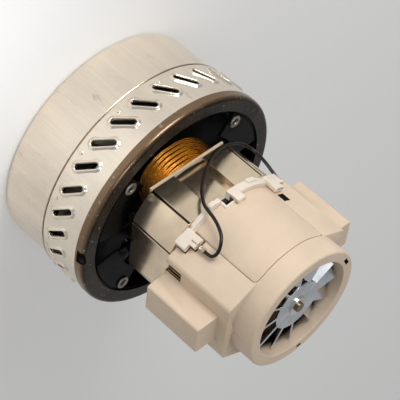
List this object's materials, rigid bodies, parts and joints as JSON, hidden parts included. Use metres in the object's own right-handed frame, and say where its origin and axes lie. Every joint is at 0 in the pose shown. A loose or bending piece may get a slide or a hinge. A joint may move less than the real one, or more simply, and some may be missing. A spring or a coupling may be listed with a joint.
{
  "type": "vacuum motor unit",
  "caption": "Upright two-stage bypass vacuum motor with a slotted fan case, laminated stator, moulded brush housing and top cooling fan.",
  "frame": {"origin": "on the shaft's axis, in the plane of the intake face that the motor stands on", "axes": "+Z along the shaft from the intake to the cooling fan, +X towards the brush box beside the lead's terminal, -Y towards the side that the lead crosses"},
  "size_m": [0.144, 0.144, 0.167],
  "materials": {
    "sheet_aluminium": "drawn and brushed sheet",
    "fan_sheet": "stamped sheet",
    "ring_steel": "dull rolled steel",
    "black_steel": "black paint",
    "bright_steel": "turned and ground steel",
    "lamination": "stacked electrical sheet",
    "copper": "enamelled copper wire",
    "brass": "plain brass",
    "moulding": "cream thermoset moulding",
    "white_moulding": "white moulding",
    "brown_moulding": "phenolic moulding",
    "carbon": "carbon graphite",
    "lead_black": "insulated wire"
  },
  "bodies": {
    "motor_frame": {"fan_can": "sheet_aluminium", "exhaust_band": "sheet_aluminium", "end_ring": "ring_steel", "bracket_dish": "black_steel", "motor_spider": "black_steel", "eyelets": "bright_steel", "diffuser": "sheet_aluminium", "fan_bearing_outer": "bright_steel", "rear_bearing_outer": "bright_steel", "stator_stack": "lamination", "field_coil_front": "copper", "field_coil_rear": "copper", "fan_end_insulator": "white_moulding", "terminal_frame": "white_moulding", "lead_terminal": "brass", "stator_bolts": "bright_steel", "end_housing": "moulding", "front_panel": "moulding", "rear_panel": "moulding", "brush_tube_right": "brass", "brush_tube_left": "brass", "brush_spring_right": "bright_steel", "brush_spring_left": "bright_steel", "brush_cap_right": "brass", "brush_cap_left": "brass", "brush_strips": "bright_steel", "lead_wire": "lead_black"},
    "rotor": {"impeller_1": "sheet_aluminium", "impeller_2": "sheet_aluminium", "impeller_spacer": "bright_steel", "bearing_spacer": "bright_steel", "clamp_washer": "bright_steel", "shaft_nut": "bright_steel", "shaft": "bright_steel", "fan_bearing_inner": "bright_steel", "rear_bearing_inner": "bright_steel", "armature_core": "lamination", "armature_winding": "copper", "commutator": "copper", "commutator_hub": "brown_moulding", "cooling_fan": "fan_sheet", "fan_ferrule": "bright_steel"},
    "brush_right": {"carbon_brush_right": "carbon"},
    "brush_left": {"carbon_brush_left": "carbon"}
  },
  "joints": [
    {"name": "rotor_spin", "type": "hinge", "parent": "motor_frame", "child": "rotor", "pos_m": [0, 0, 0], "axis": [0, 0, 1], "continuous": true},
    {"name": "brush_right_slide", "type": "slide", "parent": "motor_frame", "child": "brush_right", "axis": [1, 0, 0], "range_m": [0, 0.006], "stiffness_N_per_m": 300, "springref_m": -0.01, "deforming": ["brush_spring_right"]},
    {"name": "brush_left_slide", "type": "slide", "parent": "motor_frame", "child": "brush_left", "axis": [-1, 0, 0], "range_m": [0, 0.006], "stiffness_N_per_m": 300, "springref_m": -0.01, "deforming": ["brush_spring_left"]}
  ]
}
